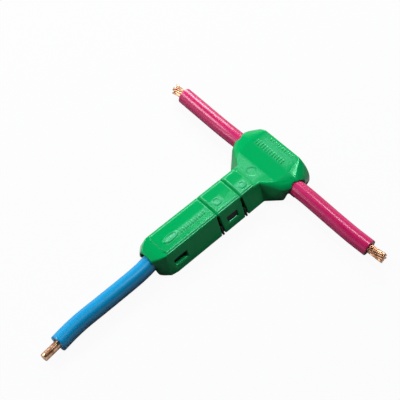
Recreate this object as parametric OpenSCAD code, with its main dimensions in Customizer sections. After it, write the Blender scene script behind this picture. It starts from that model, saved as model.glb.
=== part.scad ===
// T-tap wire connector: a tap wire is joined to a run wire without stripping it.
// A rigid base carries a stamped brass contact and both wires. A cover in three
// segments, joined by living hinges, snaps over it and presses the wires into the forks.
// X runs along the run wire, Y along the tap wire from its mouth to the head, Z is up.
// The origin is at the middle of the connector, on the surface that it stands on.

/* [Overall] */
// Length from the head hinge to the foot of the far wall
head_len = 16.5; // [15.5:0.1:18]
// Length of the middle segment, from hinge to hinge
mid_len = 6.9; // [6.5:0.1:9]
// Length from the tail hinge to the tail mouth
tail_len = 17.3; // [16.5:0.1:20]
// Width of the head where the run wire leaves it
head_w = 18.6; // [18:0.1:20]
// Height of the stem
stem_h = 5.5; // [5.5:0.05:6.5]

/* [Stem section] */
// Width of the stem at its foot
stem_foot_w = 10.8; // [10.6:0.1:12]
// Width of the stem across its two rims
stem_top_w = 6.3; // [6.1:0.1:6.6]
// Width of the raised pad between the rims
pad_w = 5.2; // [4.8:0.1:5.4]
// Depth of the rims below the pad
rim_drop = 0.17; // [0.1:0.01:0.25]

/* [Head shape] */
// Height of the head at its far edge
head_h = 6.1; // [5.9:0.05:7]
// Height of the valley between the band and the sloping top
valley_h = 5.05; // [5:0.05:5.4]
// Length of the pad from the head hinge to the band
pad_len = 4; // [3.5:0.1:4.5]
// Length of the band from the pad to the valley
band_len = 4.1; // [3.8:0.1:4.5]
// Width of the head at the far wall
far_w = 16.6; // [16:0.1:17.4]
// Width of the head across the valley
valley_w = 15.6; // [15.2:0.1:16.2]
// Width of the head half way along the band
shoulder_w = 12.8; // [12.4:0.1:13.2]
// Width of the sloping top at the valley
top_valley_w = 10.8; // [10:0.1:11.2]
// Width of the sloping top over the run wire
top_mid_w = 11.7; // [11.2:0.1:12.4]
// Width of the sloping top at its far edge
top_far_w = 10.4; // [10:0.1:11]
// Height at which the rounded ends become upright
end_round_z = 4.2; // [3.8:0.1:4.4]
// Lean of the far wall from foot to top
far_lean = 0.5; // [0.2:0.05:0.7]
// Diameter of the round moulding mark on the band
gate_d = 2.2; // [1.5:0.1:2.6]
// Depth of that mark
gate_depth = 0.15; // [0.1:0.05:0.2]

/* [Tail shape] */
// Length of the tapered nose
nose_len = 4.1; // [3.8:0.1:4.4]
// Length of the part of the nose that slopes down on top
brow_len = 2.45; // [2.2:0.05:2.6]
// Width of the nose just behind its rounded front
nose_w = 6.5; // [6.2:0.1:7]
// Height of the nose at its front
nose_h = 4.6; // [4.5:0.05:4.8]
// Distance by which the nose overhangs its foot, over the tap wire
hood_len = 0.65; // [0.4:0.05:0.8]
// Radius of the corners at the pads' ends
pad_r = 1; // [0.6:0.1:1.4]

/* [Cover walls] */
// How far the rounding of the stem's upper edges reaches down its sides
edge_drop = 0.9; // [0.6:0.05:1.1]
// How far that rounding reaches onto the rims
edge_in = 0.2; // [0.1:0.05:0.25]
// Thickness of the side walls
side_t = 0.8; // [0.7:0.05:0.9]
// Thickness of the roof
roof_t = 0.75; // [0.6:0.05:0.75]
// Thickness of the hinge webs
web_t = 0.3; // [0.2:0.05:0.4]
// Half opening of the hinge groove on the top
groove_half = 0.32; // [0.28:0.02:0.4]
// Half width of the side slits under the webs
slit_top_half = 0.25; // [0.25:0.01:0.32]
// Half width of the side slits at the foot
slit_foot_half = 0.5; // [0.44:0.02:0.54]
// Height of the skirts above the surface
skirt_gap = 0.1; // [0.05:0.05:0.2]

/* [Windows and lugs] */
// Height of the lower edge of the side windows
side_window_z = 1.75; // [1.6:0.05:1.9]
// Height of the side windows
side_window_h = 1.35; // [1.1:0.05:1.4]
// Length of the side windows in the middle segment
mid_window_len = 2.8; // [2:0.1:3]
// Length of the side windows in the tail
tail_window_len = 3.4; // [3:0.1:3.8]
// Distance of the tail windows from the tail mouth
tail_window_inset = 5.85; // [5.7:0.05:6.2]
// Width of each far window
far_window_w = 2.5; // [2.2:0.1:2.8]
// Height of the far windows
far_window_h = 1.8; // [1.6:0.05:1.9]
// Height of the lower edge of the far windows
far_window_z = 2.1; // [2:0.05:2.2]
// Distance between the centres of the far windows
far_window_pitch = 5.2; // [5:0.1:5.6]
// Depth of the track that leads each far lug to its window
track_depth = 0.3; // [0.2:0.05:0.35]

/* [Base] */
// Thickness of the floor under the contact
floor_t = 0.35; // [0.3:0.05:0.45]
// Height of the walls beside the tap wire
tray_h = 3.4; // [3.2:0.1:3.6]
// Thickness of the upright walls of the head tray
tray_wall = 0.8; // [0.6:0.05:1]
// Height of the feet that fill the cover's notches
foot_h = 1.2; // [1:0.1:1.3]
// Thickness of the ribs that carry the run wire
rib_t = 0.8; // [0.6:0.05:1]
// Distance of those ribs from the middle
rib_x = 4.6; // [4.2:0.1:5]
// Thickness of the tabs that stand in the cover's side slits
tab_t = 0.4; // [0.3:0.05:0.4]
// Height of those tabs
tab_h = 2; // [1.5:0.1:2.4]

/* [Contact] */
// Thickness of the brass strip
strip_t = 0.5; // [0.4:0.05:0.5]
// Width of the strip and of its head
strip_w = 3.6; // [3.4:0.1:3.6]
// Width of the slots that grip the conductors
slot_w = 1.4; // [1.2:0.05:1.5]
// Height of the fork tips
fork_h = 4.2; // [4:0.05:4.3]
// Width of the head forks along the tap wire
head_fork_w = 4.4; // [4:0.1:4.6]
// Width of the inner tail fork, which is bent up out of the strip
inner_fork_w = 2.9; // [2.7:0.1:3]
// Distance between the two tail forks
tail_fork_pitch = 4.6; // [4.4:0.1:5]
// Distance of the outer tail fork from the tail mouth
tail_fork_inset = 6.4; // [6:0.1:7]
// Inner radius of the bends
bend_r = 0.3; // [0.2:0.05:0.4]

/* [Wires] */
// Outer diameter of both wires over their insulation
wire_od = 3.8; // [3.6:0.05:3.8]
// Diameter of the stranded conductor of the run wire
run_core_d = 2.05; // [1.9:0.05:2.2]
// Diameter of the solid conductor of the tap wire
tap_core_d = 1.78; // [1.6:0.02:1.9]
// Distance of the run wire from the foot of the far wall
run_inset = 5; // [4.9:0.05:5.2]
// Length of the solid conductor that stands bare
tap_bare_len = 4; // [3:0.5:6]

/* [Clearances] */
// Gap between the base and the cover around it
fit_gap = 0.15; // [0.1:0.05:0.2]
// Gap between a wire and the notch that it leaves by
notch_gap = 0.15; // [0.1:0.05:0.25]
// Gap around each lug in its window
lug_gap = 0.1; // [0.08:0.01:0.15]
// Gap between a conductor and its insulation
core_gap = 0.02; // [0.01:0.01:0.04]

/* [Hidden] */
fine = 48;
eps = 0.02;

total_len = head_len + mid_len + tail_len;
far_y = total_len / 2;
mouth_y = -total_len / 2;
head_hinge_y = far_y - head_len;
tail_hinge_y = mouth_y + tail_len;
hinge_z = stem_h - roof_t + web_t;
pad_y = head_hinge_y + pad_len;
valley_y = pad_y + band_len;
run_y = far_y - run_inset;
far_angle = atan(far_lean / head_h);
top_slope = (head_h - valley_h) / (far_y - far_lean - valley_y);
bed_z = floor_t + strip_t;
wire_z = bed_z + wire_od / 2;
wire_r = wire_od / 2;
notch_r = wire_r + notch_gap;
recess_r = notch_r + 0.25;
recess_x = head_w / 2 - 0.3;
valley_round_z = end_round_z - 0.8;
far_round_z = end_round_z - 2.8;
foot_top = foot_h + fit_gap;

rim_z = stem_h - rim_drop;
side_lean = (stem_foot_w - stem_top_w) / 2 / rim_z;
side_slant = sqrt(1 + side_lean * side_lean);

// Half width of the stem's side at height z, then of the space inside and of the tray
function stem_half(z) = stem_foot_w / 2 - side_lean * z;
function inner_half(z) = stem_half(z) - side_t * side_slant;
function tray_half(z) = inner_half(z) - fit_gap;

// The run wire's route, from its left end to its right end
run_route = [
  [-27.4, 15.65, 2.1], [-24, 15.55, 2.2], [-20, 15.4, 2.4], [-16, 15.25, 2.6],
  [-12, 15.2, 2.75], [-8, 15.3, 2.75], [0, 15.35, 2.75], [8, 15.35, 2.75],
  [12, 15.4, 2.75], [16, 15.4, 2.6], [20, 15.4, 2.4], [25, 15.45, 2.2], [29.7, 15.65, 2.1]
];
run_left_tip = [-30.8, 15.45, 2.1];
run_right_tip = [34, 16, 2.1];
// The tap wire's route, from its end in the connector to its free end
tap_route = [
  [0, 1.75, 2.75], [0, -4, 2.75], [0, -9, 2.75], [0, -13.2, 2.7], [0.1, -16.7, 2.5],
  [0.35, -19, 2.3], [0.65, -21.2, 2.15], [0.85, -24, 2.05], [0.9, -28.5, 2],
  [0.9, -34, 1.95], [0.9, -38.5, 1.95], [1.15, -42, 1.95], [1.6, -45.25, 1.95]
];
tap_way = [0.1, -0.995, 0];
mouth_z = 2.2;
mouth_r = wire_r + notch_gap;
mouth_play = 0.45;
end_cut_x = 5.7;
mid_y = (head_hinge_y + tail_hinge_y) / 2;
back_y = far_y - side_t - fit_gap - 0.65 * far_lean;

// Where the base's feet, far lugs and wire stop are
foot_front = run_y - 0.8;
foot_back = run_y + 3.6;
foot_x = 7;
rib_len = 5.5;
tip_half = nose_w / 2 - 0.6;
tip_h = 2.6;
neck_half = 4.2;
neck_y = pad_y + 2.4;
floor_inset = 1.1;
bed_gap = 0.15;
lug_y = far_y - side_t - 0.05;
far_cut = 3;
stop_y = 2.1;
stop_t = 0.8;
duct_half = wire_r - 0.5;
duct_end = run_y - 0.6;

// The forks: the root of their slots, the chamfer of their tips and the flare of the slots' mouths
root_z = bed_z + 0.55;
tip_cut = 0.4;
tip_drop = 0.8;
slot_flare = 0.55;

// An arched outline: upright sides, shoulders that meet the flat top at an edge
arch_end = 65;
function arch(half, top_half, h, round_z, foot) =
  let (rx = (half - top_half) / (1 - cos(arch_end)), rz = (h - round_z) / sin(arch_end))
  concat(
    [[half, foot]],
    [for (i = [0:8]) let (a = arch_end * i / 8) [half - rx * (1 - cos(a)), round_z + rz * sin(a)]],
    [for (i = [8:-1:0]) let (a = arch_end * i / 8) [-half + rx * (1 - cos(a)), round_z + rz * sin(a)]],
    [[-half, foot]]
  );

// One side of an outline whose wall leans in from half0 at the foot to half1 at the top, with a round edge
function round_side(half0, half1, top, foot, drop, inward) =
  let (
    lean = (half0 - half1) / (top - foot),
    low = [half1 + lean * drop, top - drop],
    high = [half1 - inward, top]
  )
  concat(
    [[half0, foot]],
    [for (i = [0:4]) let (t = i / 4) (1 - t) * (1 - t) * low + 2 * t * (1 - t) * [half1, top] + t * t * high]
  );
function mirrored(side) = concat(side, [for (i = [len(side) - 1:-1:0]) [-side[i][0], side[i][1]]]);

// The stem's outline up to height top, without its pad
function stem_outline(top, foot) =
  mirrored(round_side(stem_half(foot), stem_half(top), top, foot, edge_drop, edge_in));

// The outline of the space in the stem, under a roof at height top
function inner_outline(foot, top = stem_h - roof_t) = [
  [inner_half(foot), foot], [inner_half(top), top], [-inner_half(top), top], [-inner_half(foot), foot]
];
pad_outline = [
  [pad_w / 2 + rim_drop, rim_z - eps], [pad_w / 2, stem_h],
  [-pad_w / 2, stem_h], [-pad_w / 2 - rim_drop, rim_z - eps]
];

// Draws a flat outline standing across the stem, y0 to y1
module across(y0, y1) {
  translate([0, y1, 0]) rotate([90, 0, 0]) linear_extrude(y1 - y0) children();
}

// Draws a flat outline standing along the stem, x0 to x1
module along(x0, x1) {
  translate([x0, 0, 0]) rotate([90, 0, 90]) linear_extrude(x1 - x0) children();
}

// A thin slice of the head: side and roof are the walls to take off, spread the share at the side
module head_slice(y, w, top_w, round_z, side, roof, spread, foot, lean = 0) {
  h = valley_h + max(0, min(y, far_y - far_lean) - valley_y) * top_slope;
  translate([0, y, 0])
    rotate([90 + lean, 0, 0])
      linear_extrude(eps)
        polygon(arch(w / 2 - side * spread, top_w / 2 - side / 2, h - roof, round_z, foot));
}

// The head from the valley to the far wall
module head_rear(side, roof, foot) {
  far_roof = roof + side * top_slope;
  bulge_w = (2 * head_w + valley_w) / 3;
  back_top_w = (top_mid_w + top_far_w) / 2;
  corner_w = (head_w + far_w) / 2;
  hull() {
    head_slice(valley_y + eps, valley_w, top_valley_w, valley_round_z, side, roof, 1.35, foot);
    head_slice(valley_y + 1.8, bulge_w, top_valley_w + 0.5, end_round_z - 0.4, side, roof, 1.15, foot);
    head_slice(run_y + 0.3, head_w, top_mid_w, end_round_z, side, roof, 1.05, foot);
    head_slice(run_y + 2.3, head_w - 0.3, back_top_w, end_round_z - 0.8, side, roof, 1, foot);
    head_slice(far_y - 1.7, corner_w, top_far_w + 0.2, far_round_z + 0.2, side, roof, 1, foot);
    head_slice(far_y - side, far_w, top_far_w, far_round_z, side, far_roof, 1, foot, far_angle);
  }
}

// The shoulders and the band, from the stem to the valley
module head_front(side, roof, foot) {
  shoulder_y = (pad_y + valley_y + 1.3) / 2;
  hull() {
    across(pad_y + 1.3, pad_y + 1.3 + eps)
      polygon([
        for (p = stem_outline(valley_h, foot))
          [p[0] - sign(p[0]) * side * 1.35, min(p[1], valley_h - roof)]
      ]);
    head_slice(shoulder_y, shoulder_w, stem_top_w + 2.7, 1.4, side, roof, 1.35, foot);
    head_slice(valley_y + eps, valley_w, top_valley_w, valley_round_z, side, roof, 1.35, foot);
  }
}

// A slice of the tail's nose, at distance d from its front
module nose_slice(d, half, top_half, top, side, roof, foot) {
  translate([0, mouth_y + d + side + eps, 0])
    rotate([90, 0, 0])
      linear_extrude(eps)
        polygon([
          [half - side, foot], [top_half - side / 2, top - roof],
          [side / 2 - top_half, top - roof], [side - half, foot]
        ]);
}

// The tail, up to its rims, with its rounded and sloping nose
module tail_body(side, roof, foot) {
  half = nose_w / 2;
  top = rim_z + (side > 0 ? rim_drop : 0);
  fall = (stem_h - nose_h) / brow_len;
  hull() {
    for (y = [tail_hinge_y, mouth_y + nose_len])
      translate([0, y, 0])
        rotate([90, 0, 0])
          linear_extrude(eps)
            polygon(side > 0 ? inner_outline(foot) : stem_outline(rim_z, foot));
    nose_slice(brow_len, half + 1.8, stem_half(top) - 0.1, top, side, roof, foot);
    nose_slice(hood_len + 0.6, half + 0.75, half - 0.7, nose_h + 1.3 * fall, side, roof, foot);
    nose_slice(hood_len, half, half - 1.2, nose_h + 0.7 * fall, side, roof, foot);
    nose_slice(0, half - 1.1, half - 1.6, nose_h, side, roof, foot + mouth_z);
  }
}

// A pad from y0 to y1 with rounded corners at the ends that are asked for
module pad(y0, y1, round_low, round_high) {
  intersection() {
    across(y0, y1) polygon(pad_outline);
    linear_extrude(stem_h + 1)
      hull() {
        for (s = [-1, 1]) {
          translate([s * (pad_w / 2 + rim_drop - pad_r), y1 - pad_r])
            if (round_high) circle(pad_r, $fn = 32);
            else square(2 * pad_r, center = true);
          translate([s * (pad_w / 2 + rim_drop - pad_r), y0 + pad_r])
            if (round_low) circle(pad_r, $fn = 32);
            else square(2 * pad_r, center = true);
        }
      }
  }
}

// What parts two segments: the groove over the web and the slit under it
module hinge_cut(y) {
  translate([0, y, 0])
    along(-head_w, head_w) {
      polygon([
        [0, hinge_z], [groove_half, stem_h], [groove_half, stem_h + 1],
        [-groove_half, stem_h + 1], [-groove_half, stem_h]
      ]);
      polygon([
        [-slit_top_half, hinge_z - web_t], [slit_top_half, hinge_z - web_t],
        [slit_foot_half, -1], [-slit_foot_half, -1]
      ]);
    }
}

// The way of the run wire out of the cover, flared towards the hinge as the cover swings
module run_notch(r, flare) {
  translate([run_y, wire_z]) {
    circle(r, $fn = fine);
    polygon([[-r, 0], [r, 0], [r, -wire_z - 1], [-r - flare, -wire_z - 1]]);
  }
}

module head_cover() {
  color("#0aa653")
    difference() {
      union() {
        across(head_hinge_y, pad_y - 0.2) polygon(stem_outline(rim_z, skirt_gap));
        pad(head_hinge_y, pad_y, false, true);
        across(pad_y - 0.3, pad_y + 1.6) polygon(stem_outline(valley_h, skirt_gap));
        head_front(0, 0, skirt_gap);
        head_rear(0, 0, skirt_gap);
      }
      across(head_hinge_y - 1, pad_y - roof_t) polygon(inner_outline(-1));
      across(head_hinge_y, pad_y + 2.2) polygon(inner_outline(-1, valley_h - roof_t));
      head_front(side_t, roof_t, -1);
      head_rear(side_t, roof_t, -1);
      hinge_cut(head_hinge_y);
      for (s = [-1, 1]) {
        along(s > 0 ? end_cut_x : -head_w, s > 0 ? head_w : -end_cut_x) run_notch(notch_r, 1.2);
        along(s > 0 ? recess_x : -head_w, s > 0 ? head_w : -recess_x) run_notch(recess_r, 1);
        translate([s > 0 ? end_cut_x : -head_w, foot_front - 0.9, -1])
          cube([head_w - end_cut_x, foot_back + fit_gap - foot_front + 0.9, foot_top + 1]);
        translate([s * far_window_pitch / 2 - far_window_w / 2, far_y - far_cut, far_window_z])
          cube([far_window_w, 2 * far_cut, far_window_h]);
        translate([s * far_window_pitch / 2 - far_window_w / 2, far_y - far_cut, -1])
          cube([far_window_w, far_cut - side_t + track_depth, far_window_z + 1 + eps]);
      }
      translate([0, pad_y + 2.3, valley_h - gate_depth]) cylinder(2, d = gate_d, $fn = fine);
    }
}

module middle_cover() {
  color("#0aa653")
    difference() {
      union() {
        across(tail_hinge_y, head_hinge_y) polygon(stem_outline(rim_z, skirt_gap));
        pad(tail_hinge_y, head_hinge_y, false, false);
      }
      across(tail_hinge_y - 1, head_hinge_y + 1) polygon(inner_outline(-1));
      hinge_cut(head_hinge_y);
      hinge_cut(tail_hinge_y);
      translate([-head_w / 2, mid_y - mid_window_len / 2, side_window_z])
        cube([head_w, mid_window_len, side_window_h]);
    }
}

module tail_cover() {
  window_y = mouth_y + tail_window_inset;
  color("#0aa653")
    difference() {
      union() {
        tail_body(0, 0, skirt_gap);
        pad(mouth_y + brow_len + 0.5, tail_hinge_y, true, false);
      }
      tail_body(side_t, roof_t, -1);
      across(tail_hinge_y - 2, tail_hinge_y + 1) polygon(inner_outline(-1));
      hinge_cut(tail_hinge_y);
      across(mouth_y - 1, mouth_y + 3) mouth_outline(mouth_r);
      translate([-head_w / 2, window_y - tail_window_len / 2, side_window_z])
        cube([head_w, tail_window_len, side_window_h]);
    }
}

// The way of the tap wire out of the tail, open to the foot
module mouth_outline(r) {
  for (s = [-1, 1])
    translate([s * mouth_play, mouth_z]) circle(r, $fn = fine);
  translate([-mouth_play, mouth_z]) square([2 * mouth_play, r]);
  translate([-r - mouth_play, -1]) square([2 * (r + mouth_play), mouth_z + 1]);
}

// The base's section beside the tap wire
tray_outline = [
  [tray_half(0), 0], [tray_half(tray_h), tray_h], [-tray_half(tray_h), tray_h], [-tray_half(0), 0]
];

module base() {
  tray_end = mouth_y + nose_len + 0.2;
  channel_end = mouth_y + nose_len + 1.9;
  post_z = far_window_z + far_window_h;
  color("#1b1c20")
    difference() {
      union() {
        across(tray_end, pad_y + 2) polygon(tray_outline);
        hull() {
          across(tray_end, tray_end + eps) polygon(tray_outline);
          across(mouth_y + 1.8, mouth_y + 1.8 + eps)
            polygon([[tip_half, 0], [tip_half - 0.6, tip_h], [0.6 - tip_half, tip_h], [-tip_half, 0]]);
        }
        translate([fit_gap - mouth_r - mouth_play, mouth_y + hood_len + fit_gap, 0])
          cube([2 * (mouth_r + mouth_play - fit_gap), 3, mouth_z]);
        linear_extrude(bed_z) head_floor();
        linear_extrude(wire_z)
          difference() {
            head_floor();
            offset(delta = -tray_wall) head_floor();
            translate([-head_w / 2, 0]) square([head_w, valley_y + 1.6]);
          }
        intersection() {
          head_rear(0, 0, 0);
          for (s = [-1, 1])
            translate([s > 0 ? foot_x : -head_w, foot_front, 0])
              cube([head_w - foot_x, foot_back - foot_front, foot_h]);
        }
        for (s = [-1, 1]) {
          translate([s * rib_x - rib_t / 2, run_y - 2.5, 0])
            cube([rib_t, rib_len, wire_z]);
          translate([s * far_window_pitch / 2, 0, 0]) {
            translate([lug_gap - far_window_w / 2, back_y - 0.5, far_window_z + lug_gap])
              cube([far_window_w - 2 * lug_gap, lug_y - back_y + 0.5, far_window_h - 2 * lug_gap]);
            translate([-far_window_w / 2 - 0.3, back_y - 0.7, 0]) cube([far_window_w + 0.6, 0.7, post_z]);
          }
        }
        for (y = [head_hinge_y, tail_hinge_y])
          across(y - tab_t / 2, y + tab_t / 2)
            polygon([
              [stem_half(0) - 0.1, 0], [stem_half(tab_h) - 0.1, tab_h],
              [0.1 - stem_half(tab_h), tab_h], [0.1 - stem_half(0), 0]
            ]);
        lug(mid_y, mid_window_len, side_t - 0.15);
        lug(mouth_y + tail_window_inset, tail_window_len, 0);
      }
      translate([-wire_r - 0.1, channel_end, bed_z]) cube([wire_od + 0.2, stop_y - channel_end, stem_h]);
      translate([-duct_half, stop_y + stop_t, bed_z])
        cube([2 * duct_half, duct_end - stop_y - stop_t, stem_h]);
      tap_bed(channel_end + eps);
      translate([-strip_w / 2 - 0.2, mouth_y + tail_fork_inset - 0.3, floor_t])
        cube([strip_w + 0.4, run_y + head_fork_w / 2 + 0.4 - mouth_y - tail_fork_inset + 0.3, strip_t + eps]);
      translate([-head_w, run_y, wire_z])
        rotate([0, 90, 0]) cylinder(2 * head_w, r = wire_r + 0.05, $fn = fine);
    }
}

// The floor of the base in the head, clear of the cover as it swings open
module head_floor() {
  half = [
    [neck_half - 0.6, neck_y - 0.8], [neck_half, neck_y],
    [shoulder_w / 2 - 0.8, valley_y - 0.1], [valley_w / 2 - floor_inset, valley_y + floor_inset],
    [head_w / 2 - floor_inset - 0.6, run_y - 0.7], [head_w / 2 - floor_inset, run_y + 1.3],
    [head_w / 2 - floor_inset - 0.05, run_y + 2.3], [far_w / 2 - floor_inset, back_y]
  ];
  polygon(concat(half, [for (i = [len(half) - 1:-1:0]) [-half[i][0], half[i][1]]]));
}

// A lug on each side of the base: its top reaches out into the window beside it
module lug(y, len, reach) {
  z0 = side_window_z + lug_gap;
  z1 = side_window_z + side_window_h - lug_gap;
  out0 = inner_half(side_window_z) - lug_gap + reach;
  out1 = out0 - (reach > 0 ? side_lean * (z1 - z0) : 0.2);
  across(y - len / 2 + lug_gap, y + len / 2 - lug_gap)
    polygon([[out0, z0], [out1, z1], [-out1, z1], [-out0, z0]]);
}

// The bed of the tap wire from the mouth to y1, sloping up to the wire's height
module tap_bed(y1) {
  for (round = [true, false])
    hull() {
      across(mouth_y - 1, mouth_y - 1 + eps)
        if (round) for (s = [-1, 1]) translate([s * mouth_play, mouth_z]) circle(wire_r + bed_gap, $fn = 32);
        else translate([-wire_r - mouth_play, mouth_z]) square([wire_od + 2 * mouth_play, 4]);
      across(y1, y1 + eps)
        if (round) translate([0, wire_z]) circle(wire_r + bed_gap, $fn = 32);
        else translate([-wire_r - bed_gap, wire_z]) square([wire_od + 2 * bed_gap, 4]);
    }
}

// The slot of a fork: a round root, straight sides and a flared mouth
module fork_slot() {
  translate([0, root_z + slot_w / 2]) circle(d = slot_w, $fn = 24);
  translate([-slot_w / 2, root_z + slot_w / 2]) square([slot_w, fork_h]);
  polygon([
    [-slot_w / 2, fork_h - tip_drop], [slot_w / 2, fork_h - tip_drop],
    [slot_w / 2 + slot_flare, fork_h + eps], [-slot_w / 2 - slot_flare, fork_h + eps]
  ]);
}

// What the two corners of a fork of width w lose
module fork_corners(w) {
  for (s = [-1, 1])
    polygon([
      [s * w / 2, fork_h - tip_drop], [s * (w / 2 - tip_cut), fork_h + eps],
      [s * (w / 2 + 1), fork_h + eps], [s * (w / 2 + 1), fork_h - tip_drop]
    ]);
}

module contact() {
  outer_y = mouth_y + tail_fork_inset;
  inner_y = outer_y + tail_fork_pitch;
  tab_len = fork_h - bed_z;
  head_end = run_y + head_fork_w / 2;
  bend = bend_r + strip_t;
  color("#d9b25a") {
    difference() {
      union() {
        translate([-strip_w / 2, outer_y + bend, floor_t])
          cube([strip_w, run_y - head_fork_w / 2 - outer_y - bend + eps, strip_t]);
        across(run_y - head_fork_w / 2, head_end)
          translate([0, floor_t]) {
            translate([-strip_w / 2 + bend, 0]) square([strip_w - 2 * bend, strip_t]);
            for (s = [0, 1]) mirror([s, 0]) strip_bend(strip_w / 2 - bend);
            for (s = [-1, 1]) translate([s > 0 ? strip_w / 2 - strip_t : -strip_w / 2, bend - eps])
              square([strip_t, fork_h - floor_t - bend + eps]);
          }
        along(-strip_w / 2, strip_w / 2)
          translate([outer_y + bend, floor_t]) mirror([1, 0]) strip_bend(0);
        translate([-strip_w / 2, outer_y, floor_t + bend - eps])
          cube([strip_w, strip_t, fork_h - floor_t - bend + eps]);
        translate([-inner_fork_w / 2, inner_y, bed_z - eps]) cube([inner_fork_w, strip_t, tab_len + eps]);
      }
      along(-strip_w, strip_w)
        translate([run_y, 0]) {
          fork_slot();
          fork_corners(head_fork_w);
        }
      across(outer_y - 1, inner_y + 1) fork_slot();
      across(outer_y - 1, outer_y + 1) fork_corners(strip_w);
      translate([-inner_fork_w / 2, inner_y + strip_t, 0]) cube([inner_fork_w, tab_len, bed_z + eps]);
    }
  }
}

// A quarter bend of the strip that starts at x and turns up
module strip_bend(x) {
  translate([x, strip_t + bend_r])
    intersection() {
      difference() {
        circle(strip_t + bend_r, $fn = fine);
        circle(bend_r, $fn = fine);
      }
      translate([0, -strip_t - bend_r]) square(strip_t + bend_r);
    }
}

// A round tube of radius r along a route, with flat ends square to it
function unit(v) = v / norm(v);
function way(route, i) = unit(route[min(i + 1, len(route) - 1)] - route[max(i - 1, 0)]);
function ring(at, dir, r, n) = let (side = unit(cross(dir, [0, 0, 1])), up = cross(side, dir))
  [for (k = [0:n - 1]) at + r * (cos((k + 0.5) * 360 / n) * side + sin((k + 0.5) * 360 / n) * up)];

module tube(route, r, n = 12) {
  m = len(route);
  points = [for (i = [0:m - 1]) each ring(route[i], way(route, i), r, n)];
  sides = [
    for (i = [0:m - 2]) for (k = [0:n - 1])
      [i * n + k, i * n + (k + 1) % n, (i + 1) * n + (k + 1) % n, (i + 1) * n + k]
  ];
  start = [for (k = [n - 1:-1:0]) k];
  end = [for (k = [0:n - 1]) (m - 1) * n + k];
  polyhedron(points, concat(sides, [start, end]));
}

// The same route, a little longer at both ends
function longer(route, by) = concat(
  [route[0] - by * way(route, 0)], route, [route[len(route) - 1] + by * way(route, len(route) - 1)]
);

module insulation(route, core_d) {
  difference() {
    tube(route, wire_r);
    tube(longer(route, 1), core_d / 2 + core_gap);
  }
}

module run_wire_insulation() {
  color("#dc2468") insulation(run_route, run_core_d);
}

module run_wire_conductor() {
  color("#d08a5a") tube(concat([run_left_tip], run_route, [run_right_tip]), run_core_d / 2);
}

module tap_wire_insulation() {
  color("#0a84cc") insulation(tap_route, tap_core_d);
}

module tap_wire_core() {
  tap_end = tap_route[len(tap_route) - 1];
  color("#c07a52") {
    tube(tap_route, tap_core_d / 2);
    translate(tap_end - 0.05 * tap_way)
      rotate([90, 0, atan2(tap_way[0], -tap_way[1])])
        cylinder(tap_bare_len + 0.05, d = tap_core_d, $fn = fine);
  }
}

base();
contact();
head_cover();
middle_cover();
tail_cover();
run_wire_insulation();
run_wire_conductor();
tap_wire_insulation();
tap_wire_core();
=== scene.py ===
import math
import random

import bmesh
import bpy
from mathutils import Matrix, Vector


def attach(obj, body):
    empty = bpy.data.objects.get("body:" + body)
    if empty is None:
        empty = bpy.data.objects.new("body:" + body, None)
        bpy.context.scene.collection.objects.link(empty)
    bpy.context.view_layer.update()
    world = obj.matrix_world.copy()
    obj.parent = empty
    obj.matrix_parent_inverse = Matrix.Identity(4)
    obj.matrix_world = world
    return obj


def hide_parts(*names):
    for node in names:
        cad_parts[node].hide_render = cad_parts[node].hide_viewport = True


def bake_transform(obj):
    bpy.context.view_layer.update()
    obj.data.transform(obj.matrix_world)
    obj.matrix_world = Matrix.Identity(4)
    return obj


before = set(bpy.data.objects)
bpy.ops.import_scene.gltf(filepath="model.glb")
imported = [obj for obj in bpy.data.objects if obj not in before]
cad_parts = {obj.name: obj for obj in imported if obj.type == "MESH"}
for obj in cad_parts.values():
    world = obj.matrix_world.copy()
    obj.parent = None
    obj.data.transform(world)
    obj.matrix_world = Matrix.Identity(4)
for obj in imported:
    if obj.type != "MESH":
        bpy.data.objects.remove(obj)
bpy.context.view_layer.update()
scene = bpy.context.scene
MM = 0.001

# ---------------------------------------------------------------------------
# Camera: looks down on the connector from its right front corner, at 57 degrees and
# from 220 mm away. The small shift puts the connector where the photograph has it.
azimuth, elevation = math.radians(46.14), math.radians(57.0)
distance = 220 * MM
aim = Vector((0.1, 0.63, 0)) * MM
back = Vector((
    math.sin(azimuth) * math.cos(elevation),
    -math.cos(azimuth) * math.cos(elevation),
    math.sin(elevation),
))
lens = bpy.data.cameras.new("camera")
lens.sensor_width = 36
lens.lens = 91.1
lens.shift_x, lens.shift_y = -0.05, 0.025
lens.clip_start, lens.clip_end = 0.01, 10
camera = bpy.data.objects.new("camera", lens)
camera.location = aim + back * distance
camera.rotation_euler = back.to_track_quat("Z", "Y").to_euler()
scene.collection.objects.link(camera)
scene.camera = camera


# ---------------------------------------------------------------------------
# Light and floor: a dim studio with a table of pale paper. Three wide soft boxes light
# the colours, four narrow ones draw the glints on rims, marks and wires, and the floor
# looks nearly white but keeps the contact shadows.
def srgb(code):
    """A linear colour from an sRGB hex code."""
    parts = [int(code[i:i + 2], 16) / 255 for i in (1, 3, 5)]
    return [c / 12.92 if c <= 0.04045 else ((c + 0.055) / 1.055) ** 2.4 for c in parts] + [1.0]


def feed(tree, node, inputs):
    """Gives a node its inputs: values, or the sockets that they come from."""
    for key, value in inputs.items():
        if isinstance(value, bpy.types.NodeSocket):
            tree.links.new(value, node.inputs[key])
        else:
            node.inputs[key].default_value = value
    return node


def add(tree, kind, inputs=None, **settings):
    """Adds one node, with its settings and its inputs."""
    made = tree.nodes.new(kind)
    for key, value in settings.items():
        setattr(made, key, value)
    return feed(tree, made, inputs or {})


def new_material(name):
    """A material with its node tree, its shader and its object coordinates in metres."""
    material = bpy.data.materials.new(name)
    material.use_nodes = True
    tree = material.node_tree
    place = add(tree, "ShaderNodeTexCoord").outputs["Object"]
    return material, tree, tree.nodes["Principled BSDF"], place


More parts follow.
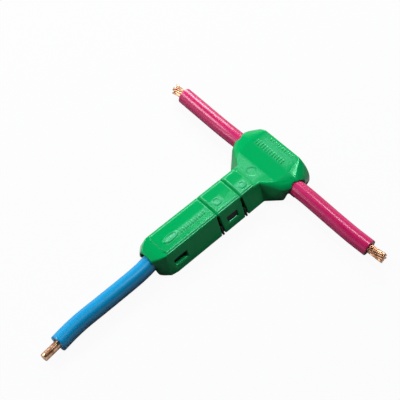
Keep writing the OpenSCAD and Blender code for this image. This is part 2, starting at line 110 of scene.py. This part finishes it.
def seen_directly(tree):
    """The ray's kinds, and 1 for what the camera sees, straight or by gloss or glass, or 0 for bounced light."""
    path = add(tree, "ShaderNodeLightPath")
    mirrored = add(
        tree, "ShaderNodeMath",
        {0: path.outputs["Is Glossy Ray"], 1: path.outputs["Is Transmission Ray"]}, operation="MAXIMUM",
    )
    both = add(
        tree, "ShaderNodeMath",
        {0: path.outputs["Is Camera Ray"], 1: mirrored.outputs[0]}, operation="MAXIMUM",
    )
    return path, both.outputs[0]


def soft_box(name, at, size, power):
    """A rectangular white light that faces the middle: its place and size in mm, upright size last, and its watts."""
    light = bpy.data.lights.new(name, "AREA")
    light.shape = "RECTANGLE"
    light.size, light.size_y = size[0] * MM, size[1] * MM
    light.energy = power
    holder = bpy.data.objects.new(name, light)
    holder.location = Vector(at) * MM
    holder.rotation_euler = Vector(at).to_track_quat("Z", "Y").to_euler()
    scene.collection.objects.link(holder)


scene.view_settings.view_transform = "Standard"
soft_box("light_overhead", (-10, 132, 323), (110, 26), 0.48)
soft_box("light_front_left", (-238, -105, 235), (120, 120), 0.6)
soft_box("light_back_left", (-217, 210, 175), (110, 110), 0.75)
soft_box("light_streak", (-108, 132, 305), (18, 60), 0.045)
soft_box("light_behind", (-114, 240, 138), (60, 20), 0.04)
soft_box("light_front", (-141, -234, 147), (38, 200), 0.15)
soft_box("light_front_low", (-95, -262, 106), (40, 15), 0.03)

# The room gives the object a little bluish light. What is seen of it, straight or in a
# reflection, turns from a white horizon to dark above, between these heights of view.
room_light = 0.03
white_below, dark_above = 0.3, 0.55
world = bpy.data.worlds.new("world")
world.use_nodes = True
scene.world = world
sky = world.node_tree
room = feed(sky, sky.nodes["Background"], {"Color": srgb("#dfe6ee"), "Strength": room_light})
toward = add(sky, "ShaderNodeTexCoord").outputs["Generated"]
height = add(sky, "ShaderNodeSeparateXYZ", {0: toward}).outputs["Z"]
rise = add(sky, "ShaderNodeMapRange", {"Value": height, "From Min": white_below, "From Max": dark_above})
studio = add(
    sky, "ShaderNodeMix", {0: rise.outputs[0], 6: srgb("#ffffff"), 7: srgb("#3c4046")}, data_type="RGBA",
)
backdrop = add(sky, "ShaderNodeBackground", {"Color": studio.outputs[2], "Strength": 1.0})
sees = seen_directly(sky)[1]
shown = add(sky, "ShaderNodeMixShader", {0: sees, 1: room.outputs[0], 2: backdrop.outputs[0]})
feed(sky, sky.nodes["World Output"], {"Surface": shown.outputs[0]})

# Pale matt paper. The camera sees it as nearly plain white, of which a small share is
# the lit paper with the shadows; gloss shows the lit paper, and it throws little light
# back up, as in the photograph.
plain_white = 0.94
floor_size = 1.2
paper, tree, shader, place = new_material("pale_paper_backdrop")
feed(tree, shader, {"Base Color": srgb("#c0c4c8"), "Roughness": 0.9, "Specular IOR Level": 0.0})
path, sees = seen_directly(tree)
glow = add(tree, "ShaderNodeEmission", {"Color": srgb("#ffffff"), "Strength": 1.0})
board = add(tree, "ShaderNodeMixShader", {0: plain_white, 1: shader.outputs[0], 2: glow.outputs[0]})
front = add(
    tree, "ShaderNodeMixShader", {0: path.outputs["Is Camera Ray"], 1: shader.outputs[0], 2: board.outputs[0]},
)
dim = add(tree, "ShaderNodeBsdfDiffuse", {"Color": srgb("#36383c")})
whole = add(tree, "ShaderNodeMixShader", {0: sees, 1: dim.outputs[0], 2: front.outputs[0]})
feed(tree, tree.nodes["Material Output"], {"Surface": whole.outputs[0]})
bpy.ops.mesh.primitive_plane_add(size=floor_size, location=(0, 0, 0))
floor = bpy.context.object
floor.name = "floor"
floor.data.materials.append(paper)

# ---------------------------------------------------------------------------
# Run wire: 3.8 mm PVC insulation, extruded in pink over nineteen drawn copper
# strands. It lies in the head's channel, and both its ends are stripped.
run_route = [
    (-27.4, 15.65, 2.1), (-24, 15.55, 2.2), (-20, 15.4, 2.4), (-16, 15.25, 2.6), (-12, 15.2, 2.75),
    (-8, 15.3, 2.75), (0, 15.35, 2.75), (8, 15.35, 2.75), (12, 15.4, 2.75), (16, 15.4, 2.6),
    (20, 15.4, 2.4), (25, 15.45, 2.2), (29.7, 15.65, 2.1),
]
run_left_tip, run_right_tip = (-30.8, 15.45, 2.1), (34, 16, 2.1)
run_left_bare, run_right_bare = 3.4, 4.3
run_bore = 1.05
wire_r = 1.9
route_step = 0.5

# Each strand turns once round the middle one in a lay, and fans out at the bare ends
strand_r, strand_lay, strand_fan = 0.205, 28, (0.35, 0.25)


def smooth(points, step):
    """Points about a step apart on the smooth curve through the given points, all in mm."""
    knots = [Vector(p) for p in points]
    knots = [2 * knots[0] - knots[1]] + knots + [2 * knots[-1] - knots[-2]]
    curve = []
    for a, b, c, d in zip(knots, knots[1:], knots[2:], knots[3:]):
        count = max(1, round((c - b).length / step))
        for i in range(count):
            t = i / count
            bend = (2 * a - 5 * b + 4 * c - d) * t * t
            curve.append(0.5 * (2 * b + (c - a) * t + bend + (3 * b - a - 3 * c + d) * t ** 3))
    return curve + [knots[-2]]


def frames(curve):
    """At each point of a curve: the point, its direction, and two directions across it."""
    result = []
    for i, point in enumerate(curve):
        way = (curve[min(i + 1, len(curve) - 1)] - curve[max(i - 1, 0)]).normalized()
        side = way.cross(Vector((0, 0, 1))).normalized()
        result.append((point, way, side, side.cross(way)))
    return result


def spoke(spot, angle):
    """The direction across a curve at one of its frames, at an angle round it."""
    return math.cos(angle) * spot[2] + math.sin(angle) * spot[3]


def turn(count):
    """The angles of a round ring's points."""
    return [2 * math.pi * k / count for k in range(count)]


def finished(shape, name, material):
    """An object made from a worked mesh, with its one material."""
    data = bpy.data.meshes.new(name)
    shape.to_mesh(data)
    shape.free()
    data.materials.append(material)
    made = bpy.data.objects.new(name, data)
    scene.collection.objects.link(made)
    return made


def join(shape, rows):
    """Faces between each row of points and the next, all the way round."""
    for a, b in rows:
        for k in range(len(a)):
            after = (k + 1) % len(a)
            shape.faces.new((a[k], a[after], b[after], b[k]))


def skin(name, loops, material, around=False):
    """A smooth mesh through loops of points in mm: its ends are closed flat, or joined if the loops go around."""
    shape = bmesh.new()
    rows = [[shape.verts.new(Vector(p) * MM) for p in loop] for loop in loops]
    join(shape, list(zip(rows, rows[1:])) + ([(rows[-1], rows[0])] if around else []))
    if not around:
        shape.faces.new(rows[0][::-1])
        shape.faces.new(rows[-1])
    bmesh.ops.recalc_face_normals(shape, faces=shape.faces)
    made = finished(shape, name, material)
    made.data.shade_smooth()
    return made


def sleeve(name, curve, outer, inner, material):
    """Insulation along a curve: a tube with a wall, its ends cut a little uneven and turned in at the rim, in mm."""
    spots = frames(curve)
    last = len(spots) - 1

    def circle(i, radius, along=0.0):
        point, way = spots[i][:2]
        loop = []
        for angle in turn(48):
            uneven = 0.05 * math.sin(2 * angle + 1) + 0.03 * math.sin(5 * angle) if i in (0, last) else 0
            loop.append(point + spoke(spots[i], angle) * radius + way * (along + uneven))
        return loop

    rim = [(outer - 0.12, 0.0), (outer - 0.03, 0.05), (outer, 0.16)]
    bore_rim = [(inner, 0.08), (inner + 0.05, 0.0)]
    loops = [circle(0, radius, along) for radius, along in rim]
    loops += [circle(i, outer) for i in range(1, last)]
    loops += [circle(last, radius, -along) for radius, along in rim[::-1]]
    loops += [circle(last, radius, -along) for radius, along in bore_rim[::-1]]
    loops += [circle(i, inner) for i in range(last - 1, 0, -1)]
    loops += [circle(0, radius, along) for radius, along in bore_rim]
    return skin(name, loops, material, around=True)


def scale(size):
    """A texture's scale for marks of a size in mm."""
    return 1 / (size * MM)


def extruded(name, dark, light, along, level):
    """PVC drawn through a die: glossy, with faint lines along the wire, which lies along the given axis. The lines
    of a real die are finer than a pixel, so these are 0.67 mm apart and 17 mm long."""
    material, tree, shader, place = new_material(name)
    stretch = [scale(0.66667)] * 3
    stretch[along] = scale(16.6667)
    streaks = add(tree, "ShaderNodeMapping", {"Vector": place, "Scale": stretch})
    drawn = add(tree, "ShaderNodeTexNoise", {"Vector": streaks.outputs[0], "Scale": 1.0, "Detail": 3.0})
    share = add(tree, "ShaderNodeMapRange", {"Value": drawn.outputs["Fac"], "From Min": 0.3, "From Max": 0.7})
    shade = add(tree, "ShaderNodeMix", {0: share.outputs[0], 6: srgb(dark), 7: srgb(light)}, data_type="RGBA")
    bump = add(tree, "ShaderNodeBump", {"Height": drawn.outputs["Fac"], "Strength": 0.15, "Distance": 0.03 * MM})
    feed(tree, shader, {
        "Base Color": shade.outputs[2], "Normal": bump.outputs[0], "Roughness": 0.26, "Specular IOR Level": level,
    })
    return material


pink = extruded("pink_pvc_extruded", "#bc0e56", "#d82a72", 0, 0.45)
run_line = smooth(run_route, route_step)
run_sleeve = sleeve("run_wire_sleeve", run_line, wire_r, run_bore, pink)
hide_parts("run_wire_insulation")
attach(run_sleeve, "base")

# Drawn copper, annealed: a warm metal, a little dull from handling, stained in patches
# of about a millimetre
copper, tree, shader, place = new_material("copper_drawn_bare")
stain = add(tree, "ShaderNodeTexNoise", {"Vector": place, "Scale": scale(1.11111), "Detail": 4.0})
share = add(tree, "ShaderNodeMapRange", {"Value": stain.outputs["Fac"], "From Min": 0.35, "From Max": 0.65})
shade = add(
    tree, "ShaderNodeMix", {0: share.outputs[0], 6: srgb("#9a6648"), 7: srgb("#f0c4a0")}, data_type="RGBA",
)
feed(tree, shader, {"Base Color": shade.outputs[2], "Metallic": 1.0, "Roughness": 0.32})


def strands(name, points, radius, lay, bare, spread, material):
    """A stranded conductor: one middle strand, six and twelve around it, twisted once in each lay, and fanned out
    over its two bare ends, all in mm."""
    curve = smooth(points, 0.45)
    spots = frames(curve)
    length = [0.0]
    for a, b in zip(curve, curve[1:]):
        length.append(length[-1] + (b - a).length)
    shape = bmesh.new()
    chance = random.Random(5)
    pitch, longest_cut, least_fan = 1.96 * radius, 0.6, 0.2
    for layer, count in ((0, 1), (1, 6), (2, 12)):
        for n in range(count):
            cuts = [chance.uniform(0, longest_cut), chance.uniform(0, longest_cut)]
            fans = [chance.uniform(least_fan, 1.0) * spread[0], chance.uniform(least_fan, 1.0) * spread[1]]
            rows = []
            for spot, s in zip(spots, length):
                if s < cuts[0] or s > length[-1] - cuts[1]:
                    continue
                ends = [max(0.0, 1 - s / bare[0]), max(0.0, 1 - (length[-1] - s) / bare[1])]
                fan = sum(f * e * e for f, e in zip(fans, ends))
                twist = 2 * math.pi * (n / count + s / lay) + layer
                axis = spot[0] + spoke(spot, twist) * (layer * pitch + fan * (0.4 + layer * 0.3))
                rows.append([shape.verts.new((axis + spoke(spot, t) * radius) * MM) for t in turn(8)])
            join(shape, zip(rows, rows[1:]))
            shape.faces.new(rows[0][::-1])
            shape.faces.new(rows[-1])
    bmesh.ops.recalc_face_normals(shape, faces=shape.faces)
    made = finished(shape, name, material)
    made.data.shade_smooth()
    return made


run_strands = strands(
    "run_wire_strands", [run_left_tip] + run_route + [run_right_tip], strand_r, strand_lay,
    (run_left_bare, run_right_bare), strand_fan, copper,
)
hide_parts("run_wire_conductor")
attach(run_strands, "base")

# ---------------------------------------------------------------------------
# Tap wire: 3.8 mm PVC insulation, extruded in blue over one solid drawn copper
# conductor. It lies in the stem's channel, and its free end is stripped.
tap_route = [
    (0, 1.75, 2.75), (0, -4, 2.75), (0, -9, 2.75), (0, -13.2, 2.7), (0.1, -16.7, 2.5),
    (0.35, -19, 2.3), (0.65, -21.2, 2.15), (0.85, -24, 2.05), (0.9, -28.5, 2),
    (0.9, -34, 1.95), (0.9, -38.5, 1.95), (1.15, -42, 1.95), (1.6, -45.25, 1.95),
]
tap_way = Vector((0.1, -0.995, 0))
tap_bore = 0.91
core_r, core_chamfer = 0.89, 0.08
core_bare = (0.8, 1.6, 2.4, 3.2, 3.9, 4.0)
blue = extruded("blue_pvc_extruded", "#0090c8", "#089cd8", 1, 0.45)
tap_line = smooth(tap_route, route_step)
tap_sleeve = sleeve("tap_wire_sleeve", tap_line, wire_r, tap_bore, blue)
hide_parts("tap_wire_insulation")
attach(tap_sleeve, "base")

core_line = tap_line + [Vector(tap_route[-1]) + tap_way * d for d in core_bare]
core_rings = []
for i, spot in enumerate(frames(core_line)):
    radius = core_r - (core_chamfer if i in (0, len(core_line) - 1) else 0)
    core_rings.append([spot[0] + spoke(spot, t) * radius for t in turn(28)])
tap_core = skin("tap_wire_solid_core", core_rings, copper)
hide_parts("tap_wire_core")
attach(tap_core, "base")

# ---------------------------------------------------------------------------
# Base: one black nylon moulding. It carries the contact and both wires, and the cover
# snaps onto its lugs.
base_edge_r = 0.08

# Nylon, moulded in an etched tool: satin, with a grain drawn at 0.25 mm, because the
# real one is too fine to show
nylon, tree, shader, place = new_material("black_nylon_moulded")
grain = add(tree, "ShaderNodeTexNoise", {"Vector": place, "Scale": scale(0.25), "Detail": 2.0})
bump = add(tree, "ShaderNodeBump", {"Height": grain.outputs["Fac"], "Strength": 0.3, "Distance": 0.02 * MM})
feed(tree, shader, {
    "Base Color": srgb("#0b0b0e"), "Normal": bump.outputs[0], "Roughness": 0.5, "Specular IOR Level": 0.25,
})


def outline(node):
    """A mesh of a CAD node with its flat faces whole, ready for its edges to be worked."""
    same_point, flat = 0.002 * MM, math.radians(2)
    shape = bmesh.new()
    shape.from_mesh(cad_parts[node].data)
    bmesh.ops.remove_doubles(shape, verts=shape.verts, dist=same_point)
    bmesh.ops.dissolve_limit(shape, angle_limit=flat, verts=shape.verts, edges=shape.edges)
    return shape


def broken(shape, edges, radius, clamp):
    """Rounds the given edges of a mesh to a radius in mm."""
    bmesh.ops.bevel(
        shape, geom=edges, offset=radius * MM, offset_type="OFFSET", segments=2, profile=0.5,
        affect="EDGES", clamp_overlap=clamp,
    )


def softened(node, name, material, radius):
    """A copy of a CAD node whose sharp outer edges are broken by a radius in mm."""
    shape = outline(node)
    sharp = math.radians(40)
    edges = [e for e in shape.edges if len(e.link_faces) == 2 and e.calc_face_angle_signed(0) > sharp]
    broken(shape, edges, radius, True)
    made = finished(shape, name, material)
    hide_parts(node)
    return made


base = softened("base", "base_moulding", nylon, base_edge_r)
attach(base, "base")

# ---------------------------------------------------------------------------
# Contact: one strip of brass, stamped and bent up into forks that cut into both wires.
# It is pressed into the base.
contact_edge_r = 0.04

# Brass, rolled and stamped: bright yellow faces, stained in patches of about 1.4 mm
brass, tree, shader, place = new_material("brass_stamped")
stain = add(tree, "ShaderNodeTexNoise", {"Vector": place, "Scale": scale(1.42857), "Detail": 3.0})
shade = add(
    tree, "ShaderNodeMix", {0: stain.outputs["Fac"], 6: srgb("#c49a44"), 7: srgb("#e6c878")}, data_type="RGBA",
)
feed(tree, shader, {"Base Color": shade.outputs[2], "Metallic": 1.0, "Roughness": 0.3})
contact = softened("contact", "contact_strip", brass, contact_edge_r)
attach(contact, "base")

# ---------------------------------------------------------------------------
# Cover, head segment: the cover is one green polypropylene moulding in three segments
# joined by living hinges. Its head closes over the run wire and snaps onto the base.
cover_edge_r, cover_corner = 0.2, math.radians(20)
pad_half, pad_swell = 2.5, 0.08

# Marks rise this far, but less in the head's far row, where the head is highest
mark_rise, far_row_rise = 0.14, 0.11

# The wires leave the cover here. Its edges stay sharp within the first distance of that,
# and its mesh is eased within the second, where the walls run out thin.
exits = [Vector(p) * MM for p in ((-9.3, 15.3, 2.75), (9.3, 15.35, 2.75), (0.6, -20.4, 2.2))]
exit_sharp, exit_eased = 3, 3.2

# The faces that look up, above this height, take the marks, the grain and the painted highlight
top_up, top_from = 0.7, 4.6

# Polypropylene, moulded: its walls are polished, and the patches of its upper faces that the mesh marks are
# spark-eroded
#  in the mould, so they are duller, with pits. Their paler flecks are painted sheen, and the same mark paints
#  highlight lines along the pads' rims and beside the hinge grooves. The pits (0.31 mm) and flecks (0.42 mm) are
#  drawn coarser than the real ones, which are too fine to show. A faint wave of 1.4 mm is the flow of the melt.
green, tree, shader, place = new_material("green_polypropylene_moulded")
grain_and_painted_sheen = add(tree, "ShaderNodeAttribute", attribute_name="grain_and_painted_sheen").outputs["Fac"]
spark = add(tree, "ShaderNodeTexNoise", {"Vector": place, "Scale": scale(0.3125), "Detail": 2.0})
pits = add(tree, "ShaderNodeMath", {0: spark.outputs["Fac"], 1: grain_and_painted_sheen}, operation="MULTIPLY")
fine = add(tree, "ShaderNodeBump", {"Height": pits.outputs[0], "Strength": 1.0, "Distance": 0.09 * MM})
wave = add(tree, "ShaderNodeTexNoise", {"Vector": place, "Scale": scale(1.42857), "Detail": 2.0})
flow = add(
    tree, "ShaderNodeBump",
    {"Height": wave.outputs["Fac"], "Normal": fine.outputs[0], "Strength": 0.3, "Distance": 0.06 * MM},
)
rough = add(tree, "ShaderNodeMapRange", {"Value": grain_and_painted_sheen, "To Min": 0.17, "To Max": 0.42})
fleck = add(
    tree, "ShaderNodeTexNoise", {"Vector": place, "Scale": scale(0.416667), "Detail": 3.0, "Roughness": 0.7},
)
pale = add(tree, "ShaderNodeMapRange", {"Value": fleck.outputs["Fac"], "From Min": 0.3, "From Max": 0.7})
# Paler where the mark is high: painted highlight, as sheen on the grain patches and as lines along rims and grooves
painted_highlight_tint = add(tree, "ShaderNodeMath", {0: pale.outputs[0], 1: grain_and_painted_sheen}, operation="MULTIPLY")
shade = add(
    tree, "ShaderNodeMix", {0: painted_highlight_tint.outputs[0], 6: srgb("#00a85a"), 7: srgb("#63cc9c")}, data_type="RGBA",
)
feed(tree, shader, {
    "Base Color": shade.outputs[2], "Normal": flow.outputs[0], "Roughness": rough.outputs[0],
    "Specular IOR Level": 0.3, "Specular Tint": srgb("#8cf0c0"),
})


def near_exit(point, reach):
    """Whether a point lies within a reach in mm of where a wire leaves the cover."""
    return any((point - spot).length < reach * MM for spot in exits)


def eased(piece, times, group=""):
    """Smooths the active piece's mesh, or one group of its points, a number of times."""
    ease = piece.modifiers.new("ease", "SMOOTH")
    ease.factor = 0.5
    ease.iterations = times
    ease.vertex_group = group
    bpy.ops.object.modifier_apply(modifier=ease.name)


def moulded(node, name, material, cell, marks, patches):
    """A copy of a CAD node as the mould leaves it: its outer edges rounded, meshed evenly (cell in mm), its marks
     raised, and its grain patches and painted highlight lines noted for the material."""
    shape = outline(node)
    core_height = 2.5
    core = Vector((0, sum(v.co.y for v in shape.verts) / len(shape.verts), core_height * MM))
    outer = []
    for edge in shape.edges:
        a, b = (v.co for v in edge.verts)
        if len(edge.link_faces) != 2 or edge.calc_face_angle_signed(0) < cover_corner:
            continue
        if near_exit(a, exit_sharp) and near_exit(b, exit_sharp):
            continue
        if (edge.link_faces[0].normal + edge.link_faces[1].normal).dot((a + b) / 2 - core) > 0:
            outer.append(edge)
    broken(shape, outer, cover_edge_r, False)
    made = finished(shape, name, material)
    even = made.modifiers.new("even", "REMESH")
    even.mode = "VOXEL"
    even.voxel_size = cell * MM
    even.use_smooth_shade = True
    bpy.context.view_layer.objects.active = made
    bpy.ops.object.modifier_apply(modifier=even.name)
    eased(made, 5)
    rims = made.vertex_groups.new(name="rims")
    rims.add([v.index for v in made.data.vertices if near_exit(v.co, exit_eased)], 1.0, "REPLACE")
    eased(made, 12, rims.name)

    tops = [v for v in made.data.vertices if v.normal.z > top_up and v.co.z > top_from * MM]
    for vertex in tops:
        x, y = vertex.co.x / MM, vertex.co.y / MM
        vertex.co.z += MM * sum(mark(x, y) for mark in marks)
    # One value on each upward point: the grain, and the painted sheen and highlight lines that go with it
    coarse = made.data.attributes.new("grain_and_painted_sheen", "FLOAT", "POINT")
    for vertex in tops:
        x, y = vertex.co.x / MM, vertex.co.y / MM
        coarse.data[vertex.index].value = max([patch(x, y) for patch in patches] + [0.0])
    made.data.shade_smooth()
    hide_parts(node)
    return made


def fading(amount, outside, edge):
    """An amount that fades to nothing across an edge: outside is how far out of the form a point lies, in mm."""
    return amount * min(1.0, max(0.0, 0.5 - outside / edge))


def bar(at, size, amount, edge=0.18):
    """A raised bar, or a patch of grain and painted highlight, on the top of the cover, in mm."""
    def height(x, y):
        outside = max(abs(x - at[0]) - size[0] / 2, abs(y - at[1]) - size[1] / 2)
        return fading(amount, outside, edge)
    return height


def ring(at, size):
    """A raised round or oval line on the top of the cover, in mm."""
    line_half, edge = 0.1, 0.18

    def height(x, y):
        around = math.hypot((x - at[0]) / size[0], (y - at[1]) / size[1])
        return fading(mark_rise, abs(around - 1) * min(size) - line_half, edge)
    return height


def crown(y0, y1):
    """The slight swell of a pad between its rims, in mm."""
    def height(x, y):
        if abs(x) > pad_half or not y0 < y < y1:
            return 0.0
        return pad_swell * (1 - (x / pad_half) ** 2)
    return height


def painted_highlight_lines(y0, y1, *grooves):
    """Painted highlight lines along a pad's rims and beside the hinge grooves, in mm."""
    rim_places, rim_width, groove_size = (-2.6, 2.6, 3.05), 0.14, (5.2, 0.1)
    rims = [bar((x, (y0 + y1) / 2), (rim_width, y1 - y0), 2.6, 0.24) for x in rim_places]
    return rims + [bar((0, y), groove_size, 2.2, 0.2) for y in grooves]


# A ring on the pad, and two rows of short bars across the plateau
head_marks = [crown(3.9, 7.7), ring((1.3, 6.0), (0.75, 0.75))]
head_marks += [bar((-4.6 + 0.7 * i, 16.5), (0.3, 1.1), mark_rise) for i in range(12)]
head_marks += [bar((-2.6 + 0.7 * i, 18.9), (0.3, 0.5), far_row_rise) for i in range(10)]

# Painted highlight lines along the pad's edges; grain with painted sheen on the band across the ramp, round the pad's
# ring, and on the plateau
head_patches = painted_highlight_lines(4.2, 7.6, 4.35)
head_patches += [
    bar((-1.6, 9.95), (7.6, 3.3), 0.5, 0.8),
    bar((1.1, 5.9), (1.3, 2.6), 1.3, 1.2),
    bar((0.2, 17.6), (9.0, 3.0), 0.5, 1.6),
]
head_cell = 0.11
head = moulded("head_cover", "head_segment", green, head_cell, head_marks, head_patches)
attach(head, "head_cover")

# ---------------------------------------------------------------------------
# Cover, middle segment: the short one between the hinges, of the same green
# polypropylene moulding. It stays snapped on the base when the others open.

# A ring on the pad, with grain and painted sheen round it, and painted highlight lines along the rims and beside the
# grooves
middle_marks = [crown(-3.0, 3.8), ring((0.7, -0.9), (0.8, 0.8))]
middle_patches = painted_highlight_lines(-2.6, 3.4, -2.55, 3.35) + [bar((0.7, -0.8), (1.2, 2.4), 1.4, 1.2)]
middle_cell = 0.08
middle = moulded("middle_cover", "middle_segment", green, middle_cell, middle_marks, middle_patches)
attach(middle, "base")

# ---------------------------------------------------------------------------
# Cover, tail segment: the long one over the tap wire, of the same green polypropylene
# moulding. Its mouth closes round the wire, and it snaps onto the base's lugs.

# An oval ring and a row of short bars along the pad, with grain and painted sheen round both, and painted highlight
# lines along the rims and beside the groove
tail_marks = [crown(-17.2, -3.1), ring((0.45, -13.9), (0.7, 1.7))]
tail_marks += [bar((0.7, -11.3 + 0.65 * i), (0.9, 0.28), mark_rise) for i in range(11)]
tail_patches = painted_highlight_lines(-17.0, -3.5, -3.55)
tail_patches += [bar((0.6, -9.7), (1.0, 11.5), 0.9, 0.9), bar((0.45, -13.9), (0.8, 2.6), 1.8, 0.5)]
tail_cell = 0.09
tail = moulded("tail_cover", "tail_segment", green, tail_cell, tail_marks, tail_patches)
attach(tail, "tail_cover")


# ---------------------------------------------------------------------------
# Hinge webs: the thin strips of the same green moulding that join the segments.
def web(name, y, toward):
    """The strip across the hinge groove at y, in mm, with its sides rounded; toward sets which way along y its loops
    run.
    """
    half_width, half_thick, span, middle_height = 2.9, 0.14, 0.72, 4.9
    section = []
    for k in range(36):
        angle = 2 * math.pi * (k + 0.5) / 36
        across, up = math.cos(angle), math.sin(angle)
        section.append((
            half_width * math.copysign(abs(across) ** 0.1, across),
            middle_height + half_thick * math.copysign(abs(up) ** 0.5, up),
        ))
    loops = []
    for i in range(17):
        along = y + toward * (i / 16 - 0.5) * span
        loops.append([(x, along, z) for x, z in section])
    strip = skin(name, loops, green)
    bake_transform(strip)


web("head_hinge_web", 3.85, 1)
web("tail_hinge_web", -3.05, -1)
